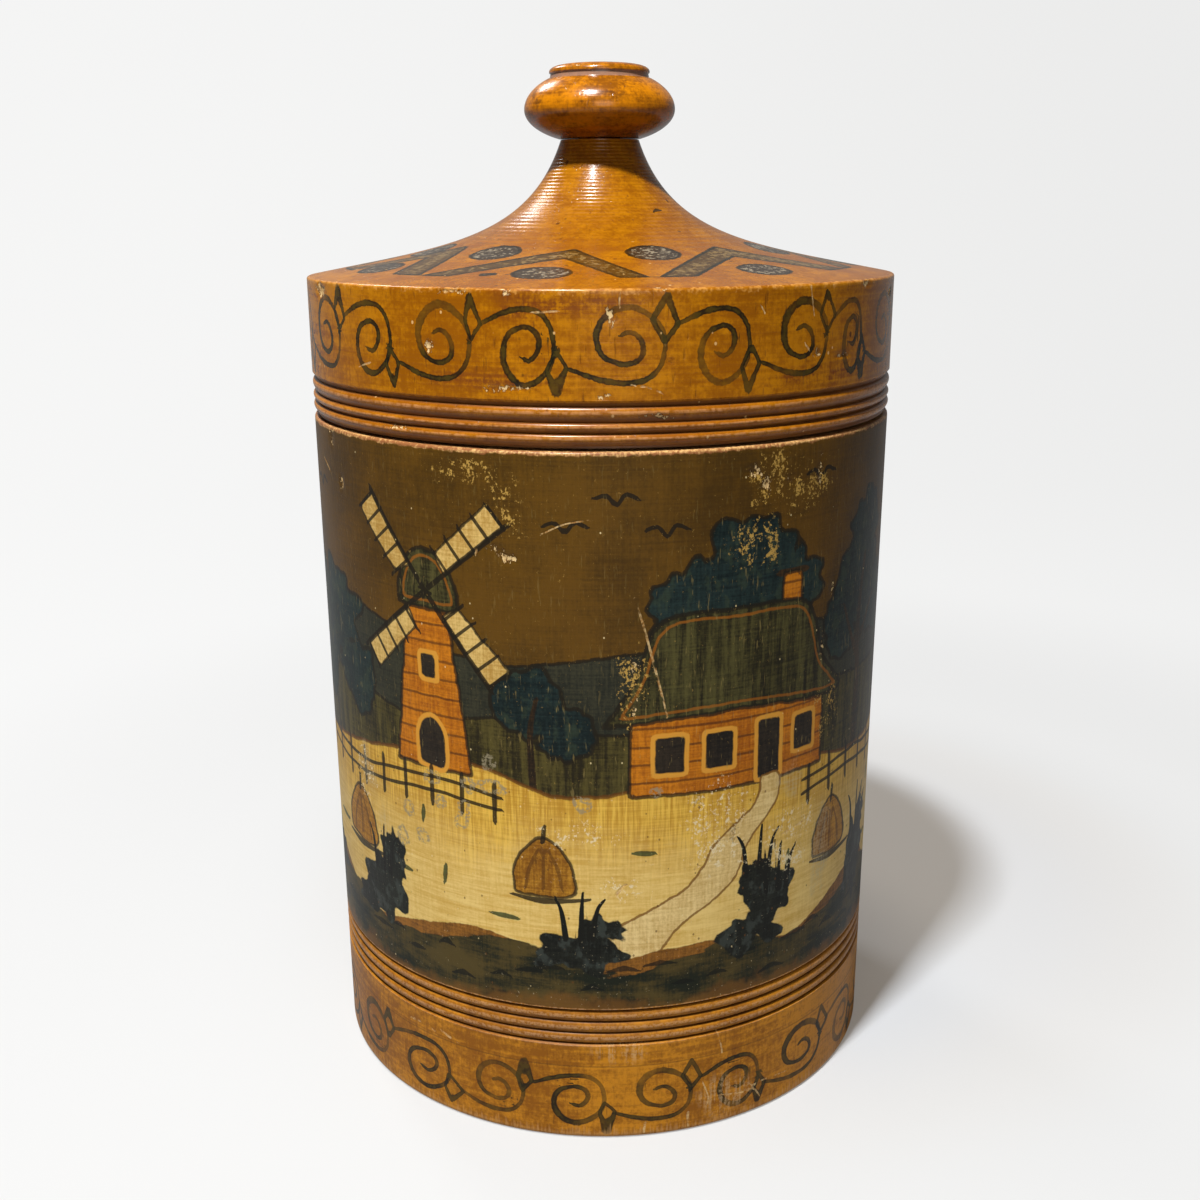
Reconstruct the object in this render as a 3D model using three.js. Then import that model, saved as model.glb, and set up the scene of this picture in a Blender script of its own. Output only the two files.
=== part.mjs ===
// A turned and painted wooden box with a lift-off lid.
// The body is a log section bored through, with a disc let into its underside as the floor.
// A thin lip at its mouth centres the lid, whose side is flush with the body's. The knob is turned by
// itself, and its tenon is glued into a mortise in the neck of the lid.
// Millimetres, +Z up, the origin at the middle of the foot. Every piece is round about the Z axis.
import * as THREE from "three";

// Body
const OUTER_RADIUS = 72.5; // of the body at its shoulder, and of the lid's side above it
const BODY_TAPER = 1; // how much less the body's radius is at its foot
const BODY_HEIGHT = 167.4; // from the foot to the shoulder that carries the lid
const BODY_WALL = 8; // at the shoulder; the bore is straight
const FOOT_ROUNDING = 1;
const SHOULDER_ROUNDING = 0.7;

// The lip stands up inside the lid and keeps it centred
const LIP_HEIGHT = 12;
const LIP_WALL = 3.7;
const LIP_CHAMFER = 0.8;

// The floor, and the rebate that takes it
const FLOOR_THICKNESS = 7;
const FLOOR_RECESS = 1.2; // how far the floor's underside stays above the foot
const REBATE_DEPTH = 2.8; // how far the rebate is cut into the wall
const FLOOR_CHAMFER = 0.6;

// Turned beads. Each number is one bead's height, from the lowest to the highest
const BODY_BEADS = [2.8, 3, 3];
const BODY_BEADS_START = 25.9; // the lowest groove of the body's beads, above the foot
const LID_BEADS = [2.7, 2.3, 3.5];
const LID_BEADS_START = 0.6; // the lowest lid bead, above the lid's rim
const BEAD_DEPTH = 0.9; // from a bead's crown to the groove beside it
const BODY_COVE = 0.8; // the height of the cove between the highest bead and the side above it
const LID_COVE = 1.4;

// Lid
const LID_SIDE_HEIGHT = 33; // from the lid's rim to the edge of its top
const LID_EDGE_ROUNDING = 1.4;
const LID_CEILING = 25; // from the lid's rim to the inside of its top
const LID_CORNER_RADIUS = 5; // where the inside of the side meets the ceiling
const LID_MOUTH_CHAMFER = 0.8; // guides the lid over the lip
const LID_CLEARANCE = 0.4; // between the lip and the lid, each side
const LID_SEAT_GAP = 0.3; // between the shoulder and the lid's rim

// The flared top runs in one curve from the lid's edge to the neck under the knob
const FLARE_HEIGHT = 31.5;
const FLARE_START_SLOPE = 11; // degrees above level, at the lid's edge
const FLARE_START_PULL = 33.5;
const FLARE_END_SLOPE = 71; // degrees above level, at the neck
const FLARE_END_PULL = 24.7;
const NECK_RADIUS = 9.6;

// Knob
const KNOB_RADIUS = 18.4;
const KNOB_LOWER_HEIGHT = 6.7; // from its underside to where it is widest
const KNOB_UPPER_HEIGHT = 7.8; // from there to the quirk under the button
const KNOB_OVERHANG = 0.5; // of its underside past the neck
const BUTTON_RADIUS = 12.1;
const BUTTON_HEIGHT = 2.2;
const BUTTON_ROUNDING = 0.8;
const QUIRK_WIDTH = 0.6; // the fine groove between the knob and its button
const QUIRK_DEPTH = 0.7;
const TENON_RADIUS = 5;
const TENON_LENGTH = 18;
const TENON_CHAMFER = 0.8;

// Glued joints
const GLUE_GAP = 0.3;
const TENON_END_GAP = 1;

// How finely the round forms are divided
const BODY_SEGMENTS = 64;
const KNOB_SEGMENTS = 40;
const BEAD_STEPS = 4;
const FLARE_STEPS = 12;
const KNOB_STEPS = 5;
const ROUNDING_STEPS = 3;

// Heights and radii that follow from the sizes above
const innerRadius = OUTER_RADIUS - BODY_WALL;
const lipOuterRadius = innerRadius + LIP_WALL;
const floorRadius = innerRadius + REBATE_DEPTH - GLUE_GAP;
const floorTop = FLOOR_RECESS + FLOOR_THICKNESS;
const lidInnerRadius = lipOuterRadius + LID_CLEARANCE;
const lidRim = BODY_HEIGHT + LID_SEAT_GAP;
const lidEdge = lidRim + LID_SIDE_HEIGHT;
const neckTop = lidEdge + FLARE_HEIGHT;
const knobUnderside = neckTop + GLUE_GAP;
const knobWidest = knobUnderside + KNOB_LOWER_HEIGHT;
const quirkHeight = knobWidest + KNOB_UPPER_HEIGHT;
const buttonTop = quirkHeight + QUIRK_WIDTH + BUTTON_HEIGHT;

const point = (radius, height) => new THREE.Vector2(radius, height);
const radians = (degrees) => (degrees * Math.PI) / 180;

// Points on an upright ellipse about a centre, between two angles in degrees; 0 points away from the axis.
function ellipse(centreRadius, centreHeight, acrossRadius, upRadius, from, to, steps) {
  const points = [];
  for (let i = 0; i <= steps; i += 1) {
    const angle = radians(from + ((to - from) * i) / steps);
    const radius = centreRadius + acrossRadius * Math.cos(angle);
    const height = centreHeight + upRadius * Math.sin(angle);
    points.push(point(radius, height));
  }
  return points;
}

// A rounded corner.
const corner = (centreRadius, centreHeight, size, from, to) =>
  ellipse(centreRadius, centreHeight, size, size, from, to, ROUNDING_STEPS);

// The body's outer radius at a height, and the lid's, which is the same all the way up.
const bodyRadius = (height) => OUTER_RADIUS - BODY_TAPER * (1 - height / BODY_HEIGHT);
const lidRadius = () => OUTER_RADIUS;

// A run of beads from one height upwards: each swells from its groove to the full radius and back, and a
// small cove above the last one brings the side out again.
function beads(radiusAt, start, heights, cove) {
  const points = [];
  let low = start;
  for (const height of heights) {
    for (let i = 0; i < BEAD_STEPS; i += 1) {
      const share = i / BEAD_STEPS;
      const level = low + height * share;
      points.push(point(radiusAt(level) - BEAD_DEPTH * (1 - Math.sin(Math.PI * share)), level));
    }
    low += height;
  }
  points.push(point(radiusAt(low) - BEAD_DEPTH, low));
  points.push(point(radiusAt(low + cove), low + cove));
  return points;
}

// A round solid from a profile of radii and heights, turned about the Z axis.
function turned(name, profile, segments, material) {
  const geometry = new THREE.LatheGeometry(profile, segments);
  geometry.rotateX(Math.PI / 2);
  const mesh = new THREE.Mesh(geometry, material);
  mesh.name = name;
  return mesh;
}

const paintedWood = new THREE.MeshStandardMaterial({ color: 0x8a6a35, roughness: 0.5, metalness: 0 });
const varnishedWood = new THREE.MeshStandardMaterial({ color: 0xb5701c, roughness: 0.35, metalness: 0 });
const bareWood = new THREE.MeshStandardMaterial({ color: 0xb08a58, roughness: 0.75, metalness: 0 });

// The wall: up the outside, over the shoulder and the lip, down the bore and out through the rebate.
function bodyWall() {
  const rebateRadius = innerRadius + REBATE_DEPTH;
  const rebateTop = floorTop + GLUE_GAP;
  const lipTop = BODY_HEIGHT + LIP_HEIGHT;
  const belowBeads = BODY_BEADS_START - BEAD_DEPTH / 2;
  const profile = [
    point(rebateRadius, 0),
    ...corner(bodyRadius(0) - FOOT_ROUNDING, FOOT_ROUNDING, FOOT_ROUNDING, -90, 0),
    point(bodyRadius(belowBeads), belowBeads),
    ...beads(bodyRadius, BODY_BEADS_START, BODY_BEADS, BODY_COVE),
    ...corner(OUTER_RADIUS - SHOULDER_ROUNDING, BODY_HEIGHT - SHOULDER_ROUNDING, SHOULDER_ROUNDING, 0, 90),
    point(lipOuterRadius, BODY_HEIGHT),
    point(lipOuterRadius, lipTop - LIP_CHAMFER),
    point(lipOuterRadius - LIP_CHAMFER, lipTop),
    point(innerRadius + LIP_CHAMFER, lipTop),
    point(innerRadius, lipTop - LIP_CHAMFER),
    point(innerRadius, rebateTop),
    point(rebateRadius, rebateTop),
    point(rebateRadius, 0),
  ];
  return turned("body_wall", profile, BODY_SEGMENTS, paintedWood);
}

// The floor: a flat disc in the rebate, its lower edge eased so that it starts easily.
function baseDisc() {
  const profile = [
    point(0, FLOOR_RECESS),
    point(floorRadius - FLOOR_CHAMFER, FLOOR_RECESS),
    point(floorRadius, FLOOR_RECESS + FLOOR_CHAMFER),
    point(floorRadius, floorTop),
    point(0, floorTop),
  ];
  return turned("base_disc", profile, BODY_SEGMENTS, bareWood);
}

// The lid's rounded edge, which ends in line with the start of the flare.
function lidEdgeCorner() {
  const size = LID_EDGE_ROUNDING;
  return corner(OUTER_RADIUS - size, lidEdge - size, size, 0, 90 - FLARE_START_SLOPE);
}

// The flare from the lid's rounded edge to its neck, as one cubic curve.
function flare() {
  const start = lidEdgeCorner().at(-1);
  const end = point(NECK_RADIUS, neckTop);
  const startAngle = radians(FLARE_START_SLOPE);
  const endAngle = radians(FLARE_END_SLOPE);
  const afterStart = point(
    start.x - FLARE_START_PULL * Math.cos(startAngle),
    start.y + FLARE_START_PULL * Math.sin(startAngle),
  );
  const beforeEnd = point(
    end.x + FLARE_END_PULL * Math.cos(endAngle),
    end.y - FLARE_END_PULL * Math.sin(endAngle),
  );
  return new THREE.CubicBezierCurve(start, afterStart, beforeEnd, end).getPoints(FLARE_STEPS);
}

// The lid: from the middle of its ceiling out and down the inside, up the beaded side, over the flare
// to the neck, and down the mortise for the knob.
function lid() {
  const ceiling = lidRim + LID_CEILING;
  const mortiseRadius = TENON_RADIUS + GLUE_GAP;
  const mortiseFloor = knobUnderside - TENON_LENGTH - TENON_END_GAP;
  const inside = corner(
    lidInnerRadius - LID_CORNER_RADIUS,
    ceiling - LID_CORNER_RADIUS,
    LID_CORNER_RADIUS,
    90,
    0,
  );
  const profile = [
    point(0, ceiling),
    ...inside,
    point(lidInnerRadius, lidRim + LID_MOUTH_CHAMFER),
    point(lidInnerRadius + LID_MOUTH_CHAMFER, lidRim),
    point(OUTER_RADIUS - BEAD_DEPTH, lidRim),
    ...beads(lidRadius, lidRim + LID_BEADS_START, LID_BEADS, LID_COVE),
    ...lidEdgeCorner(),
    ...flare().slice(1),
    point(mortiseRadius, neckTop),
    point(mortiseRadius, mortiseFloor),
    point(0, mortiseFloor),
  ];
  return turned("lid", profile, BODY_SEGMENTS, varnishedWood);
}

// Half the height of an ellipse as wide as the knob that passes through a radius at a height from its middle.
const ellipseHeight = (radius, height) => height / Math.sqrt(1 - (radius / KNOB_RADIUS) ** 2);

// The knob: tenon, swelling knob, quirk and button, in one piece.
function knob() {
  const undersideRadius = NECK_RADIUS + KNOB_OVERHANG;
  const lowerHeight = ellipseHeight(undersideRadius, KNOB_LOWER_HEIGHT);
  const upperHeight = ellipseHeight(BUTTON_RADIUS, KNOB_UPPER_HEIGHT);
  const lowerAngle = (Math.acos(undersideRadius / KNOB_RADIUS) * 180) / Math.PI;
  const upperAngle = (Math.acos(BUTTON_RADIUS / KNOB_RADIUS) * 180) / Math.PI;
  const tenonEnd = knobUnderside - TENON_LENGTH;
  const profile = [
    point(0, tenonEnd),
    point(TENON_RADIUS - TENON_CHAMFER, tenonEnd),
    point(TENON_RADIUS, tenonEnd + TENON_CHAMFER),
    point(TENON_RADIUS, knobUnderside),
    ...ellipse(0, knobWidest, KNOB_RADIUS, lowerHeight, -lowerAngle, 0, KNOB_STEPS),
    ...ellipse(0, knobWidest, KNOB_RADIUS, upperHeight, 0, upperAngle, KNOB_STEPS).slice(1),
    point(BUTTON_RADIUS - QUIRK_DEPTH, quirkHeight + QUIRK_WIDTH / 2),
    point(BUTTON_RADIUS, quirkHeight + QUIRK_WIDTH),
    ...corner(BUTTON_RADIUS - BUTTON_ROUNDING, buttonTop - BUTTON_ROUNDING, BUTTON_ROUNDING, 0, 90),
    point(0, buttonTop),
  ];
  return turned("knob", profile, KNOB_SEGMENTS, varnishedWood);
}

const box = new THREE.Group();
box.add(bodyWall());
box.add(baseDisc());
box.add(lid());
box.add(knob());

export default box;
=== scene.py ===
# %% [markdown]
# # A turned, burned and painted wooden box
# The box is a section of log turned on a lathe and bored through, with a disc let into its underside
# and a lid that lifts off a lip. A knob is glued into the neck of the lid. Lid and foot keep the wood's
# own colour under amber varnish and carry a scroll drawn with a hot tip, and the side is painted.
# The measured model comes first, because each piece made here has to sit exactly where it says.

# %% Load the measured model
import math
import bpy
import numpy as np
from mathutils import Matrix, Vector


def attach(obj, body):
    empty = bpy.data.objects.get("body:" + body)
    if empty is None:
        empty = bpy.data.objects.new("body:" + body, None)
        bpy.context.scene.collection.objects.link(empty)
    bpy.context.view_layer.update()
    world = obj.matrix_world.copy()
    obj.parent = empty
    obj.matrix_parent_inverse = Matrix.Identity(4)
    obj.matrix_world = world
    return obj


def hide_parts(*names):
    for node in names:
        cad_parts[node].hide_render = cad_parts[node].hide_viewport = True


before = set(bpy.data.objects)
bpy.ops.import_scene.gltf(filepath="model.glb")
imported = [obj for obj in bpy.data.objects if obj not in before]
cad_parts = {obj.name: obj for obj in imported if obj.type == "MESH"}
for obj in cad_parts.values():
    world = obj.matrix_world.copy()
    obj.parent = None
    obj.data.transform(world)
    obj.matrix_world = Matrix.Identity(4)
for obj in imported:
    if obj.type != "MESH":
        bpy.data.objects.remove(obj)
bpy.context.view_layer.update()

MM = 0.001


# %% [markdown]
# ## Camera
# The photo was taken from a little above the lid, close enough for the box to narrow downwards.
# The rings of the lathe appear as ellipses, and their shapes give the distance, height and tilt of the
# camera, so those numbers are used as they are and no shift of the lens is needed.

# %% Camera
EYE = (-0.00054, -0.36081, 0.21731)
TILT, ROLL = 74.15, -0.31  # degrees
bpy.ops.object.camera_add(location=EYE, rotation=(math.radians(TILT), 0, 0))
camera = bpy.context.object
camera.name = "camera"
camera.rotation_euler.rotate_axis("Z", math.radians(ROLL))
camera.data.sensor_width, camera.data.lens = 36, 41.92
bpy.context.scene.camera = camera
bpy.context.scene.view_settings.view_transform = "Standard"
print("lens", camera.data.lens, "mm")

# %% [markdown]
# ## Floor and light
# The box stands on a pale sweep of paper that rises behind it without an edge. One small window of light
# hangs high in front, to the left. It throws the knob's shadow on the neck and draws the bright spots, and a
# weaker one behind on the left draws the second row of them. A broad one in front keeps the near side
# readable, and the room fills the rest.

# %% Floor
WIDE, DEEP, TALL, BEND = 4, 2.4, 2, 0.7  # metres of paper


def pick_edges(mesh, wanted):
    """Selects the edges of which both ends pass a test."""
    for edge in mesh.edges:
        edge.select = all(wanted(mesh.vertices[v].co) for v in edge.vertices)


bpy.ops.object.select_all(action="DESELECT")
bpy.ops.mesh.primitive_plane_add(size=1)
sweep = bpy.context.object
sweep.name = "paper_sweep"
bpy.ops.object.mode_set(mode="EDIT")
bpy.ops.transform.resize(value=(WIDE, DEEP, 1))
bpy.ops.transform.translate(value=(0, 0.2, 0))
bpy.ops.mesh.select_all(action="DESELECT")
bpy.ops.object.mode_set(mode="OBJECT")
pick_edges(sweep.data, lambda at: at.y > 1)
bpy.ops.object.mode_set(mode="EDIT")
bpy.ops.mesh.select_mode(type="EDGE")
bpy.ops.mesh.extrude_region_move(TRANSFORM_OT_translate={"value": (0, 0, TALL)})
bpy.ops.object.mode_set(mode="OBJECT")
pick_edges(sweep.data, lambda at: at.y > 1 and abs(at.z) < 0.01)
bpy.ops.object.mode_set(mode="EDIT")
bpy.ops.mesh.bevel(offset=BEND, segments=16)
bpy.ops.object.mode_set(mode="OBJECT")
bpy.ops.object.shade_smooth()
print("sweep", len(sweep.data.polygons), "faces")

# %% Lights
MIDDLE = Vector((0, 0, 0.12))  # of the box


def window(name, towards, distance, size, watts):
    """A soft square lamp, aimed at the middle of the box from a direction."""
    bpy.ops.object.light_add(type="AREA")
    lamp = bpy.context.object
    lamp.name = name
    lamp.data.shape = "RECTANGLE"
    lamp.data.size = lamp.data.size_y = size
    lamp.data.energy = watts
    way = Vector(towards).normalized()
    lamp.location = way * distance + MIDDLE
    lamp.rotation_euler = way.to_track_quat("Z", "Y").to_euler()
    print(name, [round(x, 2) for x in lamp.location])


window("high_window", (-0.150, -0.340, 0.830), 0.91, 0.07, 14.5)
window("back_window", (-0.42, 0.61, 0.67), 1.2, 0.22, 3.2)
window("front_window", (0.1, -1, 0.3), 1.3, 0.6, 2.2)

# %% [markdown]
# ## Shader sums in plain Python
# A finish is a chain of sums on the place of a point: how far along the fibre, how near a painted edge.
# Written node by node they are hard to follow, so one small class lets Python's own signs add the nodes,
# and one method adds every other kind.

# %% A reading and its sums
class Reading:
    """A number, colour or vector inside a finish. Sums on it add Math nodes."""

    def __init__(self, finish, socket):
        self.finish, self.socket = finish, socket

    def sum(self, how, *parts):
        return self.finish.node("Math", {"operation": how}, dict(enumerate(parts)))

    def __add__(self, other):
        return self.sum("ADD", self, other)

    def __sub__(self, other):
        return self.sum("SUBTRACT", self, other)

    def __mul__(self, other):
        return self.sum("MULTIPLY", self, other)

    def __truediv__(self, other):
        return self.sum("DIVIDE", self, other)

    def __rsub__(self, other):
        return self.sum("SUBTRACT", other, self)

    def __abs__(self):
        return self.sum("ABSOLUTE", self)

    def over(self, other):
        return self.sum("MAXIMUM", self, other)

    def rise(self, low, high):
        """0 below low, 1 above high, and smooth between; falls where low is above high."""
        sockets = {0: self, 1: min(low, high), 2: max(low, high)}
        sockets |= {3: 0.0, 4: 1.0} if low < high else {3: 1.0, 4: 0.0}
        return self.finish.node("MapRange", {"interpolation_type": "SMOOTHSTEP"}, sockets)

    def mix(self, under, over):
        """Two colours, the second laid over the first by this share."""
        sockets = {0: self, 6: paint(under), 7: paint(over)}
        return self.finish.node("Mix", {"data_type": "RGBA"}, sockets, 2)

    __radd__ = __add__


def paint(colour):
    """A colour written as on a screen, from 0 to 255, in the linear form that nodes use. Four numbers are
    linear already."""
    if isinstance(colour, Reading) or len(colour) == 4:
        return colour
    return tuple(((c / 255 + 0.055) / 1.055) ** 2.4 if c > 10 else c / 255 / 12.92 for c in colour) + (1.0,)


# %% A finish
class Finish:
    """A material, or the light of the room, that is built up by sums. It carries the colour laid so far."""

    def __init__(self, name, kind="materials", shader="Principled BSDF"):
        self.owner = getattr(bpy.data, kind).new(name)
        self.owner.use_nodes = True
        self.tree = self.owner.node_tree
        self.shader = self.tree.nodes[shader]
        self.place = self.node("TexCoord", {}, {}, "Object")

    def feed(self, target, sockets):
        """Links readings to a node, and sets plain values on it."""
        for name, value in sockets.items():
            if isinstance(value, Reading):
                self.tree.links.new(value.socket, target.inputs[name])
            else:
                target.inputs[name].default_value = value

    def node(self, kind, settings, sockets, out=0):
        made = self.tree.nodes.new("ShaderNode" + kind)
        for name, value in settings.items():
            setattr(made, name, value)
        self.feed(made, sockets)
        return Reading(self, made.outputs[out])

    def vector(self, how, *parts, out=0):
        return self.node("VectorMath", {"operation": how}, dict(enumerate(parts)), out)

    def along(self, axis):
        return self.node("SeparateXYZ", {}, {0: self.place}, axis)

    def height(self):
        """Millimetres above the floor."""
        return self.along(2) * 1000

    def radius(self):
        """Millimetres from the axis."""
        return self.vector("LENGTH", self.vector("MULTIPLY", self.place, (1, 1, 0)), out="Value") * 1000

    def field(self, name):
        """A number kept on the piece's points."""
        return self.node("Attribute", {"attribute_name": name}, {}, "Fac")

    def stretched(self, scale):
        """The place, scaled to so many features a metre across and along the axis, or along x, y and z."""
        scale = scale if len(scale) == 3 else (scale[0], *scale)
        return self.node("Mapping", {}, {"Vector": self.place, "Scale": scale})

    def noise(self, scale, detail, roughness):
        sockets = {"Vector": self.stretched(scale), "Scale": 1.0, "Detail": detail, "Roughness": roughness}
        return self.node("TexNoise", {}, sockets)

    def flecks(self, scale, size, share):
        """Small spots strewn at random. Share is how many of the possible places are taken."""
        spots = self.node("TexVoronoi", {}, {"Vector": self.stretched(scale), "Scale": 1.0})
        chance = Reading(self, spots.socket.node.outputs["Color"])
        return spots.rise(size, size * 0.6) * chance.rise(share, share - 0.02)

    def lay(self, share, over):
        """Lays a colour over what is there."""
        self.colour = share.mix(self.colour, over)

    def shade(self, share):
        """Makes the colour darker by a factor."""
        grey = self.node("CombineColor", {}, {0: share, 1: share, 2: share})
        settings = {"data_type": "RGBA", "blend_type": "MULTIPLY"}
        self.colour = self.node("Mix", settings, {0: 1.0, 6: self.colour, 7: grey}, 2)

    def put_on(self, piece, roughness, height, gloss, coat, coat_roughness=0.14, depth=0.05 * MM):
        """Connects the finished readings to the shader, and gives the finish to a piece."""
        bump = self.node("Bump", {}, {"Height": height, "Distance": depth, "Strength": 1.0})
        self.feed(self.shader, {
            "Base Color": self.colour, "Roughness": roughness, "Normal": bump, "Specular IOR Level": gloss,
            "Coat Weight": coat, "Coat Roughness": coat_roughness})
        piece.data.materials.clear()
        piece.data.materials.append(self.owner)
        print(self.owner.name, len(self.tree.nodes), "nodes, on", piece.name)


# %% [markdown]
# ## The paper and the room
# To the camera the paper is nearly white, and the room behind it too. Rays that light the box meet a
# darker paper, so its own colours stay plain. The paper glows more with the distance from the shadow, which
# hides the fall of the light, and the shadow keeps its depth.

# %% The paper and the room
room = Finish("pale_room", "worlds", "Background")
brightness = room.node("LightPath", {}, {}, "Is Camera Ray") * 0.83 + 0.07
room.feed(room.shader, {"Color": (1, 1, 1, 1), "Strength": brightness})
bpy.context.scene.world = room.owner

SHADOW_MIDDLE = (0.05, 0.07, 0)
paper = Finish("paper")
mirrored = paper.node("LightPath", {}, {}, "Is Glossy Ray") * paper.along(1).rise(0.0, 0.4) * 0.2
seen = paper.node("LightPath", {}, {}, "Is Camera Ray").over(mirrored)
away = paper.vector("LENGTH", paper.place, out="Value")
past_shadow = paper.vector("DISTANCE", paper.place, SHADOW_MIDDLE, out="Value")
far = past_shadow.rise(0.08, 0.16)
# Near the shadow the paper's own colour is bluish and its glow is warm: a painted warm light in the shadow,
# while the lit paper there stays white.
pale = seen.mix((0.3, 0.3, 0.3, 1), far.mix((0.51, 0.545, 0.59, 1), (0.54, 0.54, 0.534, 1)))
paper.feed(paper.shader, {"Base Color": pale, "Roughness": 0.9})
left_to_right = paper.along(0).rise(-0.7, 0.7)
neutral = left_to_right.mix((0.99, 0.99, 0.985, 1), (0.905, 0.905, 0.9, 1))
glow = paper.node("Emission", {}, {"Color": far.mix((0.98, 0.85, 0.70, 1), neutral), "Strength": 1.0})
share = away.rise(0.07, 0.12) * 0.12 + 0.16
share += past_shadow.rise(0.09, 0.19) * 0.4 + past_shadow.rise(0.19, 0.4) * 0.22
lit = Reading(paper, paper.shader.outputs[0])
blend = paper.node("MixShader", {}, {0: seen * share, 1: lit, 2: glow})
paper.feed(paper.tree.nodes["Material Output"], {"Surface": blend})
sweep.data.materials.append(paper.owner)
print("paper", len(paper.tree.nodes), "nodes")

# %% [markdown]
# ## Turning the pieces
# A lathe makes a round piece from one outline, and so does the spin tool. One vertex is extruded along
# the outline in short steps and the line is spun about the axis. The steps are short, about a
# millimetre, because the drawing and the painting are kept on the points of the mesh later on.
# Spinning so many steps at once is slow, so an eighth is spun and seven copies of it close the ring.

# %% Measures
OUTER = 72.5  # radius of the lid and of the body's shoulder, as measured
TAPER = 1.0  # how much less the body's radius is at its foot
SHOULDER = 167.4
RIM = 168.1  # the lid's lower edge, with a dark gap under it
ARRIS = 200.7  # where the lid's side turns into its top
EDGE = 0.6  # how far that edge is rounded
FOOT_TOP = 25.4  # where the plain foot ends and the grooves begin
BEAD_ROWS = 9
SPUN = 8  # one part in so many is spun, and then copied round
BEVEL = 0.8  # on the edges inside and on the lip


def body_radius(height):
    return OUTER - TAPER * (1 - height / SHOULDER)


print("the side stands", OUTER, "mm out at the top and", body_radius(0), "mm at the foot")


# %% Points of an outline
def go(outline, radius, height, rows):
    """Adds evenly spaced points up to a new one."""
    start = np.array(outline[-1], float)
    for i in range(rows):
        outline.append(tuple(start + (np.array((radius, height)) - start) * (i + 1) / rows))


def go_round(outline, radius, height, size, start, end, rows):
    """Adds points on a quarter, or part, of a circle about a centre, angles in degrees."""
    for angle in np.radians(np.linspace(start, end, rows + 1)):
        outline.append((radius + size * math.cos(angle), height + size * math.sin(angle)))


def go_beads(outline, radius_at, start, heights, depth, skew, flat):
    """Adds beads with fine grooves between them. Skew lifts the crest, and flat widens it."""
    low = start
    for tall in heights:
        for share in np.arange(BEAD_ROWS) / BEAD_ROWS:
            level = low + tall * share
            swell = math.sin(math.pi * share ** skew) ** flat
            outline.append((radius_at(level) - depth * (1 - swell), level))
        low += tall
    outline.append((radius_at(low) - depth, low))
    return low


# %% The spin
def turned(name, outline, steps):
    """Extrudes a vertex along an outline of radii and heights in millimetres, then spins the line."""
    bpy.ops.object.select_all(action="DESELECT")
    bpy.ops.mesh.primitive_plane_add(size=MM)
    piece = bpy.context.object
    piece.name = piece.data.name = name
    bpy.ops.object.mode_set(mode="EDIT")
    bpy.ops.mesh.select_mode(type="VERT")
    bpy.ops.mesh.merge(type="CENTER")
    at = (0.0, 0.0)
    for i, (radius, height) in enumerate(outline):
        step = (0, (radius - at[0]) * MM, (height - at[1]) * MM)
        if i == 0:
            bpy.ops.transform.translate(value=step)
        else:
            bpy.ops.mesh.extrude_region_move(TRANSFORM_OT_translate={"value": step})
        at = (radius, height)
    about = dict(use_auto_merge=False, center=(0, 0, 0), axis=(0, 0, 1))
    bpy.ops.mesh.select_all(action="SELECT")
    bpy.ops.mesh.spin(steps=steps // SPUN, angle=2 * math.pi / SPUN, **about)
    bpy.ops.mesh.select_all(action="SELECT")
    bpy.ops.mesh.spin(steps=SPUN - 1, dupli=True, angle=2 * math.pi * (SPUN - 1) / SPUN, **about)
    bpy.ops.mesh.select_all(action="SELECT")
    bpy.ops.mesh.remove_doubles(threshold=0.02 * MM)
    bpy.ops.mesh.normals_make_consistent(inside=False)
    bpy.ops.object.mode_set(mode="OBJECT")
    bpy.ops.object.shade_smooth_by_angle(angle=math.radians(38))
    print(name, len(outline), "points,", sum(len(p.vertices) - 2 for p in piece.data.polygons), "triangles")
    return piece


# %% [markdown]
# ### The body
# The outline runs from the foot up the side, over the shoulder and the lip, and down the bore to the
# rebate that takes the floor. The foot is plain for the scroll, then come four fine grooves.

# %% The body
LIP, BORE, REBATE = 68.2, 64.5, 67.3  # radii of the lip, of the inside and of the floor disc
LIP_TOP, FLOOR_TOP = 179.4, 8.5
outline = [(REBATE, 0.0)]
go(outline, 70.5, 0, 3)
go_round(outline, 70.5, 1, 1, -75, 0, 4)
go(outline, body_radius(FOOT_TOP), FOOT_TOP, 30)
top_groove = go_beads(outline, body_radius, FOOT_TOP + 0.5, (2.8, 3.0, 3.0), 0.9, 1.15, 0.42)
go(outline, body_radius(top_groove + 0.5), top_groove + 0.5, 2)
go(outline, body_radius(SHOULDER - 0.7), SHOULDER - 0.7, 139)
go_round(outline, OUTER - 0.7, SHOULDER - 0.7, 0.7, 20, 90, 3)
for radius, height, rows in (
        (LIP, SHOULDER, 3), (LIP, LIP_TOP - BEVEL, 4), (LIP - BEVEL, LIP_TOP, 1), (BORE + BEVEL, LIP_TOP, 2),
        (BORE, LIP_TOP - BEVEL, 1), (BORE, FLOOR_TOP, 7), (REBATE, FLOOR_TOP, 1), (REBATE, 0.0, 2)):
    go(outline, radius, height, rows)
body = turned("painted_body", outline, 424)

# %% [markdown]
# ### The lid
# The same way, from the middle of the ceiling out and down the inside, up the beaded side, over the edge
# and along the flare to the neck, and down into the hole for the knob's tenon.

# %% The lid
CEILING, HOLLOW = 192.7, 68.6
COVE = 5  # how far the ceiling's edge is rounded
NECK, NECK_TOP = 9.6, 232.2
HOLE, HOLE_FLOOR = 5.3, 213.5
FINE = 400  # steps in which the flare's length is measured


def heading(degrees):
    return np.array((math.cos(math.radians(degrees)), math.sin(math.radians(degrees))))


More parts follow.
